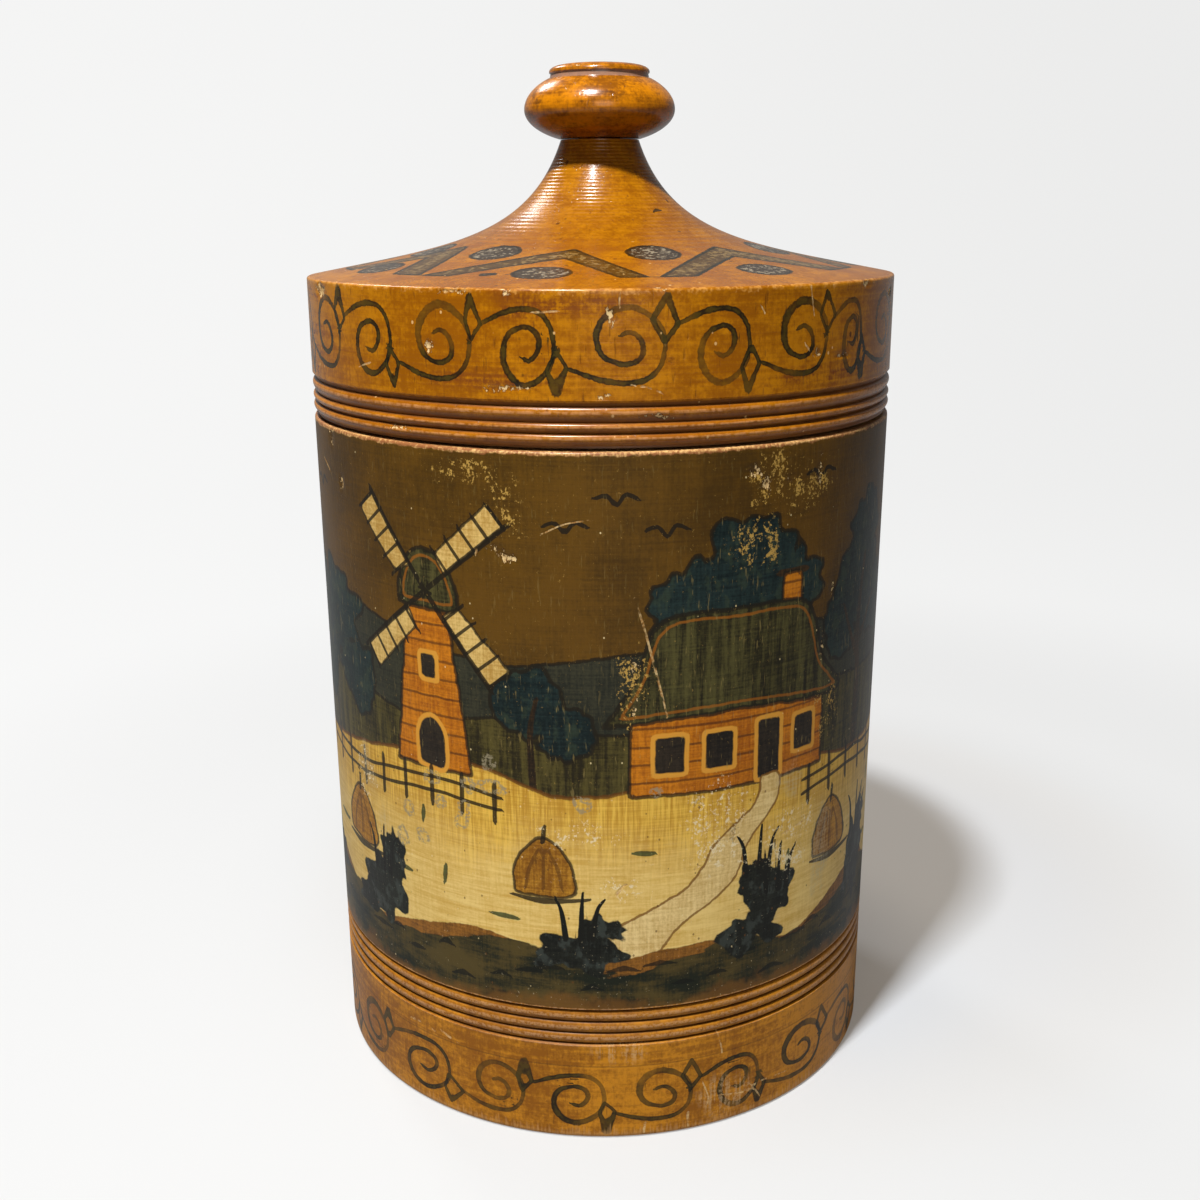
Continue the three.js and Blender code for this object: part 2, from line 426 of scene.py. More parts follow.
def flare(share):
    """The point on the flare's curve at a share of its way, from the lid's edge to the neck."""
    start = np.array((OUTER - EDGE, ARRIS - EDGE)) + EDGE * heading(79)
    end = np.array((NECK, NECK_TOP))
    near, far = start + 33.5 * heading(169), end + 24.7 * heading(-71)
    rest = 1 - share
    return rest ** 3 * start + 3 * rest ** 2 * share * near + 3 * rest * share ** 2 * far + share ** 3 * end


shares = np.linspace(0, 1, FINE)
fine = [flare(share) for share in shares]
length = np.cumsum([0] + [math.dist(a, b) for a, b in zip(fine, fine[1:])])
outline = [(0.0, CEILING)]
go(outline, HOLLOW - COVE, CEILING, 9)
go_round(outline, HOLLOW - COVE, CEILING - COVE, COVE, 75, 0, 5)
go(outline, HOLLOW, RIM + BEVEL, 3)
go(outline, HOLLOW + BEVEL, RIM, 1)
go(outline, OUTER - 0.9, RIM, 2)
top_groove = go_beads(outline, lambda height: OUTER, RIM + 0.4, (2.6, 2.3, 3.4), 0.95, 1.55, 0.55)
go_round(outline, OUTER + 0.1, top_groove + 0.15, 0.85, 165, 105, 3)
outline[-1] = (OUTER, top_groove + 1.3)
go(outline, OUTER, ARRIS - EDGE, 36)
go_round(outline, OUTER - EDGE, ARRIS - EDGE, EDGE, 15, 66, 3)
for way in np.linspace(0, length[-1], 78):
    outline.append(tuple(flare(np.interp(way, length, shares))))
for radius, height in ((HOLE, NECK_TOP), (HOLE, HOLE_FLOOR), (0.0, HOLE_FLOOR)):
    go(outline, radius, height, 3)
lid = turned("turned_lid", outline, 512)

# %% [markdown]
# ### The knob
# A flattened ball under a small domed button, with a narrow groove between them, and a tenon below. The
# ball is two half ellipses that meet where it is widest.

# %% The knob
UNDER = 232.5  # the knob's underside, on the neck
TENON, TENON_END = 5.0, UNDER - 18
BALL, SEAT, MOUTH = 18.4, 10.1, 12.6  # radii of the ball where it is widest, on the neck and at the button
LOWER, UPPER = 6.7, 7.1  # heights of the ball's two halves
WIDEST, QUIRK = UNDER + LOWER, UNDER + 14.5  # where the ball is widest, and the groove under the button
outline = [(0.0, TENON_END)]
go(outline, TENON - BEVEL, TENON_END, 3)
go(outline, TENON, TENON_END + BEVEL, 1)
go(outline, TENON, UNDER, 4)
below, above = np.linspace(-math.acos(SEAT / BALL), 0, 15), np.linspace(0, math.acos(MOUTH / BALL), 15)[1:]
for tall, angles in ((LOWER, below), (UPPER, above)):
    for angle in angles:
        rise = tall * math.sin(angle) / math.sin(abs(angles).max())
        outline.append((BALL * math.cos(angle), WIDEST + rise))
for radius, height, rows in (
        (12.1, -0.65, 2), (11.9, 0.2, 3), (11.9, 0.45, 1), (12.2, 0.65, 1), (12.2, 1.0, 1), (12.0, 1.45, 1),
        (11.5, 1.85, 1), (10.6, 2.2, 1), (9.3, 2.45, 1), (7.5, 2.63, 1), (5.4, 2.75, 1), (0.0, 2.8, 5)):
    go(outline, radius, QUIRK + height, rows)
knob = turned("turned_knob", outline, 160)

# %% Give the pieces their places
for piece, node_name, body_name, slot_name in (
        (body, "body_wall", "box", "painted_wood"), (lid, "lid", "lid", "varnished_wood"),
        (knob, "knob", "lid", "varnished_wood")):
    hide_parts(node_name)
    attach(piece, body_name)
    print(piece.name, "rides on", body_name)

# %% [markdown]
# ## Drawing on a sheet
# The scroll and the picture were drawn by hand on a round surface. The side of the box is unrolled here
# into a flat sheet, in millimetres to the right of the front and upwards, and each mark is drawn on
# it. What a point of the mesh keeps is how deep it lies inside a painted shape, or how far it is from the
# middle of a stroke. Such distances change evenly from point to point, so the edge that a finish finds
# between them is far sharper than the mesh. A picture file would show its grain close up.

# %% Curves and distances
FAR = 6.0  # distances are kept up to this many millimetres
STEPS = 5  # short segments between two given points of a smooth line
luck = np.random.default_rng(8)


def flowing(points):
    """A smooth line through points."""
    p = np.array(points, float)
    p = np.vstack((2 * p[0] - p[1], p, 2 * p[-1] - p[-2]))
    a, b, c, d = p[:-3, None], p[1:-2, None], p[2:-1, None], p[3:, None]
    t = np.linspace(0, 1, STEPS, endpoint=False)[:, None]
    line = (2 * b + (c - a) * t + (2 * a - 5 * b + 4 * c - d) * t ** 2 + (3 * b - 3 * c + d - a) * t ** 3) / 2
    return np.vstack((line.reshape(-1, 2), p[-2]))


def uneven(u, v, width, height, rough, lumps):
    """A closed outline with a hand-made, lumpy edge."""
    angle = np.linspace(0, 2 * math.pi, 48, endpoint=False)
    size = 1 + sum(luck.normal(0, rough / math.sqrt(k)) * np.cos(k * angle + luck.uniform(0, 6.3))
                   for k in range(2, lumps))
    return np.column_stack((u + width / 2 * size * np.cos(angle), v + height / 2 * size * np.sin(angle)))


def block(left, low, right, high):
    return [(left, low), (left, high), (right, high), (right, low)]


def arched(u, half, tops, bottom):
    """A closed smooth outline about a middle line. Half goes up one side, and tops are points between."""
    left, right = [(u - x, v) for x, v in half], [(u + x, v) for x, v in reversed(half)]
    return flowing(left + [(u, v) for v in tops] + right + [(u, bottom)] + left[:1])


def nearest(points, start, end):
    """For each point: its distance to the nearest segment, its signed side, and the place along the line."""
    run = end - start
    away = points[:, None] - start
    share = np.clip((away * run).sum(2) / np.maximum((run ** 2).sum(1), 1e-9), 0, 1)
    gap = np.linalg.norm(away - share[..., None] * run, axis=2)
    length = np.maximum(np.linalg.norm(run, axis=1), 1e-9)
    side = (run[:, 0] * away[..., 1] - run[:, 1] * away[..., 0]) / length
    pick = (gap - 1e-4 * abs(side)).argmin(1)
    rows = np.arange(len(points))
    return gap[rows, pick], np.sign(side[rows, pick]), (pick + share[rows, pick]) / len(start)


# %% The sheet
class Sheet:
    """The points of a piece laid flat, either unrolled or seen from above."""

    def __init__(self, piece, allowed, from_above=False):
        points = np.empty(3 * len(piece.data.vertices), np.float32)
        piece.data.vertices.foreach_get("co", points)
        x, y, z = points.reshape(-1, 3).T.astype(float) / MM
        self.piece, self.fields = piece, {}
        self.radius, self.height, self.angle = np.hypot(x, y), z, np.arctan2(x, -y)
        self.round = None if from_above else 2 * math.pi * OUTER
        self.at = np.column_stack((x, y) if from_above else (self.angle * OUTER, z))
        self.allowed = allowed(self.radius, z)

    def field(self, name, start=-FAR):
        return self.fields.setdefault(name, np.full(len(self.at), start))

    def near(self, line, margin):
        """The points near a line, with the sheet turned so that the line lies in its middle."""
        at = self.at.copy()
        if self.round:
            middle = (line[:, 0].min() + line[:, 0].max()) / 2
            at[:, 0] = (at[:, 0] - middle + self.round / 2) % self.round + middle - self.round / 2
        low, high = line.min(0) - margin, line.max(0) + margin
        found = np.flatnonzero(self.allowed & (at > low).all(1) & (at < high).all(1))
        return found, at[found]

    def shape(self, name, outline):
        """Fills a closed outline."""
        line = np.array(outline, float)
        found, at = self.near(line, FAR)
        if len(found):
            start, end = line, np.roll(line, -1, 0)
            gap = nearest(at, start, end)[0]
            rises = (start[:, 1] > at[:, None, 1]) != (end[:, 1] > at[:, None, 1])
            tall = np.where(end[:, 1] == start[:, 1], 1e-9, end[:, 1] - start[:, 1])
            cross = (end[:, 0] - start[:, 0]) * (at[:, None, 1] - start[:, 1]) / tall + start[:, 0]
            inside = (rises & (at[:, None, 0] < cross)).sum(1) % 2 == 1
            depth = np.where(inside, gap, -gap).clip(-FAR, FAR)
            field = self.field(name)
            field[found] = np.maximum(field[found], depth)

    def strew(self, name, rough, lumps, places):
        """Fills lumpy blots, each with its middle, width and height."""
        for u, v, width, height in places:
            self.shape(name, uneven(u, v, width, height, rough, lumps))

    def under(self, name, line):
        """Fills all below a line that goes once round."""
        line = np.array(line, float)
        u = self.at[:, 0]
        level = np.interp(u, line[:, 0], line[:, 1], period=self.round)
        slope = np.interp(u + 1, line[:, 0], line[:, 1], period=self.round) - level
        depth = ((level - self.at[:, 1]) / np.hypot(1, slope)).clip(-FAR, FAR)
        field = self.field(name)
        field[self.allowed] = np.maximum(field, depth)[self.allowed]

    def stroke(self, name, line, width, smooth=True):
        """Draws a line with a brush or a hot tip. The width may change on its way."""
        line = flowing(line) if smooth else np.array(line, float)
        found, at = self.near(line, 3.0)
        if len(found):
            gap, side, way = nearest(at, line[:-1], line[1:])
            half = np.interp(way, np.linspace(0, 1, np.size(width)), np.atleast_1d(width)) / 2
            reach = gap - half
            sides, reaches = self.field(name + "_side", FAR), self.field(name + "_reach", FAR)
            closer = reach < reaches[found]
            reaches[found[closer]] = reach[closer].clip(-1, FAR)
            sides[found[closer]] = (side * gap / half)[closer].clip(-FAR, FAR)

    def grooves(self, low, high, crest, least):
        """Keeps how deep the grooves between two levels go under the crests of their beads."""
        beaded = (self.height > low) & (self.height < high) & (self.radius > least)
        self.fields["groove"] = np.where(beaded, crest - self.radius, 0).clip(0, 1)

    def keep(self):
        """Writes the fields to the mesh."""
        for name, values in self.fields.items():
            kept = self.piece.data.attributes.new(name, "FLOAT", "POINT")
            kept.data.foreach_set("value", values.astype(np.float32))
        print(self.piece.name, "keeps", sorted(self.fields))


# %% [markdown]
# ## The scroll
# One hand-drawn unit is a stem that swings over and curls into a spiral, and a pointed bud where the
# next stem begins. The next unit is the same one upside down, and eleven pairs go round. The tips of the
# buds are spaced unevenly, as they are by hand, and each stem is stretched to reach the next bud.

# %% The scroll unit
STEM = [
    (-0.7, 4.2), (1.6, 5.2), (3.7, 6.1), (6.9, 7.0), (10.2, 7.3), (12.7, 7.0), (14.7, 5.9), (16.3, 3.7),
    (16.9, 1.4), (17.1, -0.6), (16.7, -3), (15.3, -5.3), (12.7, -7.3), (10.2, -8), (7.8, -7.3), (5.7, -5.3),
    (4.8, -2.6), (5.1, 0.2), (6.5, 2.4), (8.6, 3.4), (10.6, 3.7), (12.7, 2.6), (13.3, 0.6), (12.4, -1.6),
    (10.6, -2.8), (9, -2.2)]
BUD = [(17.2, -0.8), (20.0, -4.4), (17.4, -9.7), (15.5, -5.2), (17.2, -0.8)]
LEAD, REACH = 3.3, 17.4  # from a bud's tip to the next stem's start, and from there to its own bud
UNITS = 22


def scroll(sheet, tips, middle, scale):
    """Draws the units from bud tip to bud tip, once round. The first tip points up."""
    def by_hand(line):
        """Leads a line a little astray, as a hand does."""
        knots = luck.normal(0, 0.28, (5, 2))
        way = np.linspace(0, 4, len(line))
        return np.array(line) + np.column_stack([np.interp(way, range(5), knot) for knot in knots.T])

    rest = UNITS - len(tips)
    spaced = np.linspace(tips[-1], tips[0] + sheet.round, rest + 2)[1:-1]
    tips = tips + list(spaced + luck.normal(0, 0.6, rest))
    for i, tip in enumerate(tips):
        start = tips[i - 1] - (sheet.round if i == 0 else 0) + LEAD
        stretch = (tip - start) / REACH
        turn = scale if i % 2 else -scale
        for name, line in (("stem", STEM), ("bud", BUD)):
            line = by_hand(line)
            line = np.column_stack((start + line[:, 0] * stretch, middle + line[:, 1] * turn))
            if name == "stem":
                swell = luck.uniform(0, 0.9)
                sheet.stroke(name, line, (0.9, 1.3, 1.1, 1.0, 1.1 + swell, 1.3 + swell, 1.1, 1.3, 0.9))
            else:
                thin = luck.uniform(0.8, 1.15)
                sheet.stroke(name, line, (thin, thin, luck.uniform(1, 2.8), thin, thin), smooth=False)
                sheet.shape("bud_inside", line)
    print("scroll of", len(tips), "buds about", middle, "mm up")


# %% [markdown]
# ## The picture
# The side shows a village at dusk. The picture is built from back to front, as a painter would: sky,
# hills, woods, meadow, houses, and then the near bushes. Each kind of thing has a field of its own, because
# each has its own paint.

# %% Hills, woods and meadow
side = Sheet(body, lambda radius, height: (radius > 70) & (height > 1))
side.under("far_hills", [
    (-228, 118), (-205, 126), (-180, 131), (-150, 124), (-125, 117), (-100, 124), (-76, 130), (-52, 124),
    (-24, 119), (8, 123), (36, 128), (62, 124), (88, 119), (112, 122), (155, 129), (185, 133), (205, 126)])
side.under("near_hills", flowing([
    (-228, 108), (-190, 112), (-150, 103), (-110, 110), (-84, 112), (-50, 104), (-22, 107), (4, 104),
    (40, 110), (80, 108), (110, 110), (150, 101), (190, 110), (227, 108)]))
side.under("meadow", flowing([
    (-228, 92), (-190, 95), (-150, 90), (-110, 88), (-80, 90), (-56, 94), (-42, 96), (-26, 94), (-8, 89),
    (20, 92), (50, 92), (75, 88), (100, 90), (150, 95), (190, 90), (227, 92)]))
ground = flowing([
    (-228, 50), (-200, 53), (-170, 48), (-140, 52), (-110, 49), (-92, 54), (-78, 50), (-60, 47), (-44, 48),
    (-28, 52), (-14, 50), (2, 46), (18, 47), (34, 50), (50, 46), (66, 49), (84, 54), (100, 49), (130, 52),
    (165, 48), (200, 52), (227, 50)])
side.under("ground", ground)
side.under("clay", [(u, v + 1.7 + 2 * math.sin(u / 9)) for u, v in ground])
for u, v, size in (
        (-94, 112, 27), (-80, 123, 24), (-70, 109, 19), (-99, 127, 20), (-17, 111, 17), (-8, 104, 13),
        (20, 133, 20), (34, 140, 26), (47, 134, 18), (75, 130, 25), (65, 122, 17), (86, 124, 21),
        (78, 144, 18), (118, 112, 22), (185, 118, 26), (198, 108, 20), (-115, 108, 24), (-190, 114, 26),
        (-204, 124, 22), (222, 106, 18)):
    side.shape("crowns", uneven(u, v, size, size * 0.95, 0.1, 15))
for trunk, width in (
        (((75, 86), (75.5, 104), (74.5, 122), (77, 136)), (3.4, 2.6, 1.6)),
        (((75, 110), (69, 120), (66, 126)), (1.6, 0.8)), (((75, 114), (82, 122), (86, 125)), (1.5, 0.8)),
        (((-16, 90), (-16.5, 104), (-15, 112)), (1.8, 1.0)), (((118, 90), (118, 112)), (2.4, 1.2)),
        (((186, 88), (185, 116)), (2.6, 1.4)), (((-116, 88), (-115, 108)), (2.4, 1.2)),
        (((-190, 92), (-191, 116)), (2.6, 1.4))):
    side.stroke("trunk", trunk, width)
print("hills, woods and meadow done")

# %% Houses
for u, half in ((32, 26), (150, 19), (-150, 19)):
    chimney = u + half * 0.42
    side.shape("walls", block(u - half, 89, u + half, 109))
    side.shape("walls", block(chimney, 126, chimney + 6, 138))
    side.shape("roofs", arched(u, ((half + 6, 106), (half - 1, 116), (half * 0.72, 130)), [131.5], 108))
    for left, right in ((-0.78, -0.52), (-0.32, -0.06), (0.62, 0.86)):
        side.shape("openings", block(u + half * left, 94.5, u + half * right, 103))
    side.shape("openings", block(u + half * 0.2, 90, u + half * 0.44, 104))
    side.stroke("trunk", ((chimney - 1, 138), (chimney + 7, 138)), 1.5)
    print("house at", u)

# %% The windmill
HUB = np.array((-42.0, 134.5))
side.shape("walls", [(-53, 92), (-47.5, 133), (-36.5, 133), (-31, 92)])
side.shape("roofs", arched(HUB[0], ((8.5, 131), (7.5, 138), (3, 143.5)), [], 130.4))
side.shape("openings", arched(HUB[0], ((3.5, 93), (3.5, 101)), [104.5], 92.6))
side.shape("openings", block(-44, 114, -40, 119.5))
for turn in (38, 128, 218, 308):
    way, across = heading(turn), heading(turn + 90)
    side.stroke("ink", [HUB, HUB + way * 27], 1.3, smooth=False)
    tip = HUB + way * 26
    side.shape("cloth", [HUB + way * 7, tip, tip + across * 6.5, HUB + way * 8 + across * 5])
    for rung in np.arange(8, 27, 4.5):
        side.stroke("twigs", [HUB + way * rung, HUB + way * rung + across * 6.4], 0.8, smooth=False)
print("windmill at", HUB)

# %% Paths and haystacks
side.shape("path", flowing([
    (38.5, 90), (37, 84), (27, 76), (20, 66), (4, 57), (-10, 46), (8, 46), (18, 56), (31, 65), (35, 74),
    (43, 83), (43.5, 90), (38.5, 90)]))
side.shape("path", flowing([
    (158, 90), (156, 82), (166, 70), (160, 58), (150, 46), (164, 46), (172, 58), (177, 70), (164, 82),
    (163, 90), (158, 90)]))
stacks = ((-72, 71, 15), (-14, 71, 14), (64, 70, 14), (126, 71, 15), (192, 70, 15), (-135, 72, 15),
          (-178, 70, 15), (218, 73, 14))
for u, v, size in stacks:
    half = [(size * share, v + rise) for share, rise in ((0.5, -6), (0.52, -2), (0.44, 2), (0.24, 6))]
    side.shape("hay", arched(u, half, [v + 8], v - 7))
    side.stroke("ink", ((u, v + 7), (u + 0.3, v + 10.5)), 1.1)
    side.stroke("ink", ((u - size * 0.55, v - 7), (u, v - 8), (u + size * 0.75, v - 7.2)), (0.8, 1.6, 0.8))
    for lean in (-0.27, 0.0, 0.27):
        bent = [(u + size * lean * share, v + rise) for share, rise in ((0.3, 5), (0.9, 0), (1.15, -5))]
        side.stroke("straws", bent, (0.6, 0.9, 0.7))
print(len(stacks), "haystacks drawn")


# %% Fences and grass
def sagging(u):
    """How the fences go up and down with the ground."""
    return math.sin(u / 9) * 1.1


for start, end, level in ((-104, -24, 85), (52, 142, 83), (174, 226, 86), (-226, -120, 84)):
    for rail in (0, 3.4):
        side.stroke("ink", [(u, level + rail + sagging(u) + luck.normal(0, 0.15))
                            for u in np.arange(start, end + 1, 5)], 0.9)
    for u in np.arange(start + 2, end, 8.5):
        low = level + sagging(u)
        side.stroke("twigs", [(u, low - 3), (u + luck.normal(0, 0.3), low + 6)], 1.2, smooth=False)
taken = [stack[0] for stack in stacks] + [20, 34, 165]  # where haystacks and paths are
for u in np.arange(-224, 228, 11.0):
    u, v = u + luck.uniform(-4, 4), luck.uniform(58, 80)
    long, flat = luck.uniform(4, 8), luck.random() < 0.5
    if min(abs(u - other) for other in taken) > 12:
        side.stroke("grass", [(u, v), (u + long, v - 0.4)] if flat else [(u, v), (u + 0.4, v + long * 0.7)],
                    (0.8, 1.4, 1.1), smooth=False)
print("fences and grass drawn")

# %% Near bushes, birds and tufts
side.strew("bushes", 0.2, 14, (
    (-62, 55, 17, 18), (-57, 65, 9, 13), (-68, 50, 13, 9), (-6, 50, 19, 11), (-1, 56, 9, 8),
    (38, 52, 15, 14), (43, 59, 11, 15), (37.5, 63.5, 9, 12), (80, 56, 13, 22), (85, 66, 8, 11),
    (-96, 52, 14, 17), (122, 53, 18, 16), (168, 50, 15, 12), (207, 56, 15, 22), (-208, 53, 17, 15),
    (-165, 56, 13, 21), (-122, 50, 18, 11)))
for u, v in ((-62, 60), (44, 60), (38, 66), (80, 64), (-6, 54), (207, 64), (-165, 64), (122, 58)):
    for lean in (-0.5, 0.1, 0.55):
        tip = (u + 11 * lean, v + 12 - 4 * abs(lean))
        side.stroke("sprigs", [(u + 6 * lean, v), (u + 8 * lean, v + 7), tip], (1.5, 1.0, 0.6))
for u, v in ((-8, 150), (3, 156), (14, 149), (-88, 152), (140, 152), (152, 157), (-150, 150), (54, 158)):
    wings = [(u + x, v + y) for x, y in ((-4.5, 1.6), (-2, 2.2), (0, 0), (2, 2.4), (4.6, 1.4))]
    side.stroke("twigs", wings, 0.9)
for u in np.arange(-224, 226, 7.5):
    u, v, long = u + luck.uniform(-2, 2), luck.uniform(38.5, 47), luck.uniform(4, 9)
    side.stroke("tufts", [(u, v), (u + long / 2, v + luck.uniform(0.2, 1)), (u + long, v)], (0.5, 1.5, 0.5))
print("bushes, birds and tufts done")

# %% [markdown]
# ## Scroll on the foot, and the marks of long use
# The paint has come off in chips along the upper edge and in scratches across the picture, and small
# grey rings have been knocked into the meadow. Where bare wood shows, a little of the surface is gone too.

# %% The foot's scroll
scroll(side, [-64.5, -40.5, -20.2, 0.0, 21.5, 40.5, 64.5], 11.0, 0.87)

# %% Chips and scratches of the body
side.strew("chips", 0.3, 9, (
    (34, 161.5, 4, 2.2), (37.5, 158.5, 2.6, 4.4), (44, 158.8, 1.4, 1.4), (53.5, 160, 1.4, 6),
    (-21, 144, 3.4, 2.6), (-24, 146, 3, 0.8), (-77, 165, 2, 4), (-72, 154.5, 1.6, 4.5),
    (6.8, 119.5, 1.4, 3.6), (7, 111, 1.6, 4), (31, 77, 1.4, 4), (22, 87, 2, 2.4), (37.7, 68.6, 2.2, 0.9),
    (60, 132, 0.7, 4), (57, 118, 0.8, 5), (120, 161, 8, 5), (190, 163, 6, 4), (-160, 160, 9, 6),
    (-205, 140, 4, 3), (150, 74, 5, 3)))
for line, width in (
        (((6.8, 135.7), (8.4, 131), (10.6, 123), (12.9, 114), (14.4, 108)), (0.4, 0.6, 0.4)),
        (((-13, 149.7), (-8, 152), (-2, 153)), 0.35), (((-84, 159), (-80, 157), (-78, 155)), 0.5),
        (((-28, 147), (-28, 144.5)), 0.5), (((21.5, 70), (24, 71.5), (26.6, 72.5)), 0.5),
        (((1, 64.3), (3, 65.5), (4.8, 67.3)), 0.8), (((45.6, 73.8), (52.6, 75)), 0.5),
        (((28.4, 8), (37.6, 6.5), (40.8, 7.9), (49.9, 7.2)), (0.3, 0.5, 0.3)),
        (((28, 26), (29.5, 20), (28.5, 16)), 0.4), (((36, 11), (39, 7), (41, 4)), 0.45),
        (((9.7, 3.6), (9.5, 0.8)), 0.7), (((20.6, 4.8), (20.8, 1.3)), 0.7),
        (((24.5, 12.5), (26, 8), (25, 4)), 0.4), (((-53.3, 21.7), (-49, 22), (-45.7, 21.2)), 0.6),
        (((-43, 22), (-38.4, 20.3)), 0.6), (((130, 150), (150, 120), (152, 100)), 0.5),
        (((-180, 100), (-170, 74)), 0.5)):
    side.stroke("scratch", line, width)
print("chips and scratches drawn")

# %% Rubbed places, smears and rings
side.strew("rubbed", 0.2, 9, (
    (-30, 162, 18, 6), (-21, 156, 8, 13), (44, 158, 26, 13), (27, 80, 18, 22), (48, 72, 16, 20),
    (7, 116, 9, 16), (36, 146, 12, 14), (-68, 84, 10, 14), (-6, 80, 16, 6), (4, 66, 12, 6),
    (60, 102, 10, 14), (4, 24, 10, 5), (31, 8, 16, 9), (176, 112, 16, 9), (124, 132, 10, 7),
    (-168, 114, 16, 10), (-138, 132, 8, 13), (205, 150, 20, 8), (-120, 84, 14, 6)))
side.strew("smears", 0.15, 8, (
    (-67, 85, 7, 13), (-57, 62, 4.5, 19), (48, 87, 8, 9), (43, 57, 8, 12), (60, 66, 8, 26), (-60, 72, 5, 8),
    (150, 76, 20, 12), (-170, 66, 16, 12)))
side.strew("rings", 0.14, 7, (
    (-42.5, 89.5, 3.6, 3.2), (-32.2, 89.6, 3.4, 3), (-26.5, 90, 5.6, 3), (-26.7, 96, 3, 2.6),
    (-33.5, 83.3, 2.6, 3.4), (-34.2, 80, 3, 2.8), (-53, 71.8, 3.4, 4), (-46, 73.4, 3.6, 2.6),
    (-4.8, 87.3, 3, 2.8), (-40.4, 84, 2.4, 3), (-50.3, 79.8, 2.8, 3.4), (12, 90, 2.6, 2), (110, 75, 3, 3),
    (165, 78, 3, 3), (-150, 80, 3, 3), (-100, 72, 3, 3)))
side.fields["rim"] = np.where(side.allowed, SHOULDER - side.height, FAR).clip(-FAR, FAR)
side.grooves(25.2, 35.6, body_radius(side.height), 70)
side.keep()

# %% [markdown]
# ## Drawing on the lid
# The side of the lid carries the same scroll, a little larger. Its top has a ring of zigzag bars between
# two circles with a dot in each gap, laid out from above. A bar is the set of points close to a line
# from the inner circle to the outer one, cut off where it leaves the ring.

# %% The lid's scroll
band = Sheet(lid, lambda radius, height: (radius > 71) & (height > 168) & (height < 201))
scroll(band, [-68.3, -48.8, -27.8, -9.4, 13.3, 32.3, 53.8, 68.1], 189.2, 1.0)

# %% Bars of the zigzag
crown = Sheet(lid, lambda radius, height: (radius > 12) & (height > 200), from_above=True)
RING, RING_HALF = 50.7, 12.2  # radius of the ring's middle, and half its width


def from_middle(radius, degrees):
    """A point on the lid's top, its angle counted from the front."""
    return radius * heading(degrees - 90)


# The radius and degrees of each corner, and half the width of the bar that leaves it.
turns = [
    (43, -56, 4.2), (71, -40, 3.1), (43, -9, 2.9), (71, 10, 3.3), (43, 41, 3.7), (71, 64, 3.3),
    (43, 88, 3.4), (71, 110, 3.1), (43, 133, 3.5), (71, 155, 3.2), (43, 177, 3.4), (71, 198, 3.1),
    (43, 220, 3.3), (71, 242, 3.5), (43, 263, 3.2), (71, 284, 3.4), (43, 304, 4.2)]
bearing = (np.degrees(crown.angle) - turns[0][1]) % 360 + turns[0][1]
edges = []
for (r, a, half), (next_r, next_a, _) in zip(turns, turns[1:]):
    start, end = from_middle(r, a), from_middle(next_r, next_a)
    run = (end - start) / math.dist(start, end)
    aside = np.array((-run[1], run[0]))
    beyond = from_middle(90, a if r < next_r else next_a)
    edges.append((np.sign((beyond - start) @ aside) * ((crown.at - start) @ aside), half))
bars = np.full(len(crown.at), -FAR)
for i, (gap, half) in enumerate(edges):
    (_, a, _), (_, b, _) = turns[i], turns[i + 1]
    for nearer, other in ((0, i - 1), (1, (i + 1) % len(edges))):
        inward = (i + nearer) % 2 == 0
        here = (bearing >= (a, (a + b) / 2)[nearer]) & (bearing < ((a + b) / 2, b)[nearer])
        far_gap, far_half = edges[other]
        below = (np.minimum if inward else np.maximum)(gap + half, far_gap + far_half)
        above = (np.maximum if inward else np.minimum)(half - gap, far_half - far_gap)
        bars[here] = np.minimum(below, above)[here]
ring = RING_HALF - abs(crown.radius - RING)
crown.fields["bars"] = np.where(crown.allowed, np.minimum(bars, ring), -FAR).clip(-FAR, FAR)
print("zigzag of", len(edges), "bars")

# %% Dots and guide lines
for (_, inner, _), (_, outer, _) in zip(turns[:-1:2], turns[1::2]):
    crown.stroke("rule", [from_middle(62.7, outer + x) for x in (-5, -2, 1, 4)], 0.5)
    for radius, turn, wide, deep in ((42.7, outer + 6, 6.0, 5.2), (58.8, inner - 3.3, 6.4, 4.9)):
        way, across = from_middle(1, turn), from_middle(1, turn + 90)
        dot = [way * (radius + deep * math.sin(a)) + across * wide * math.cos(a)
               for a in np.linspace(0, 2 * math.pi, 28, endpoint=False)]
        crown.shape("dots", np.array(dot) + luck.normal(0, 0.1, (28, 2)))
crown.shape("dots", [from_middle(*at) for at in ((60.2, -25), (61.8, -24.4), (60.8, -21.8), (59.4, -22.2))])
crown.stroke("rule", [from_middle(*at) for at in ((21.6, 36), (21.2, 39), (21.3, 42))], (0.5, 1.0, 0.5))
print(crown.piece.name, "top keeps", sorted(crown.fields))

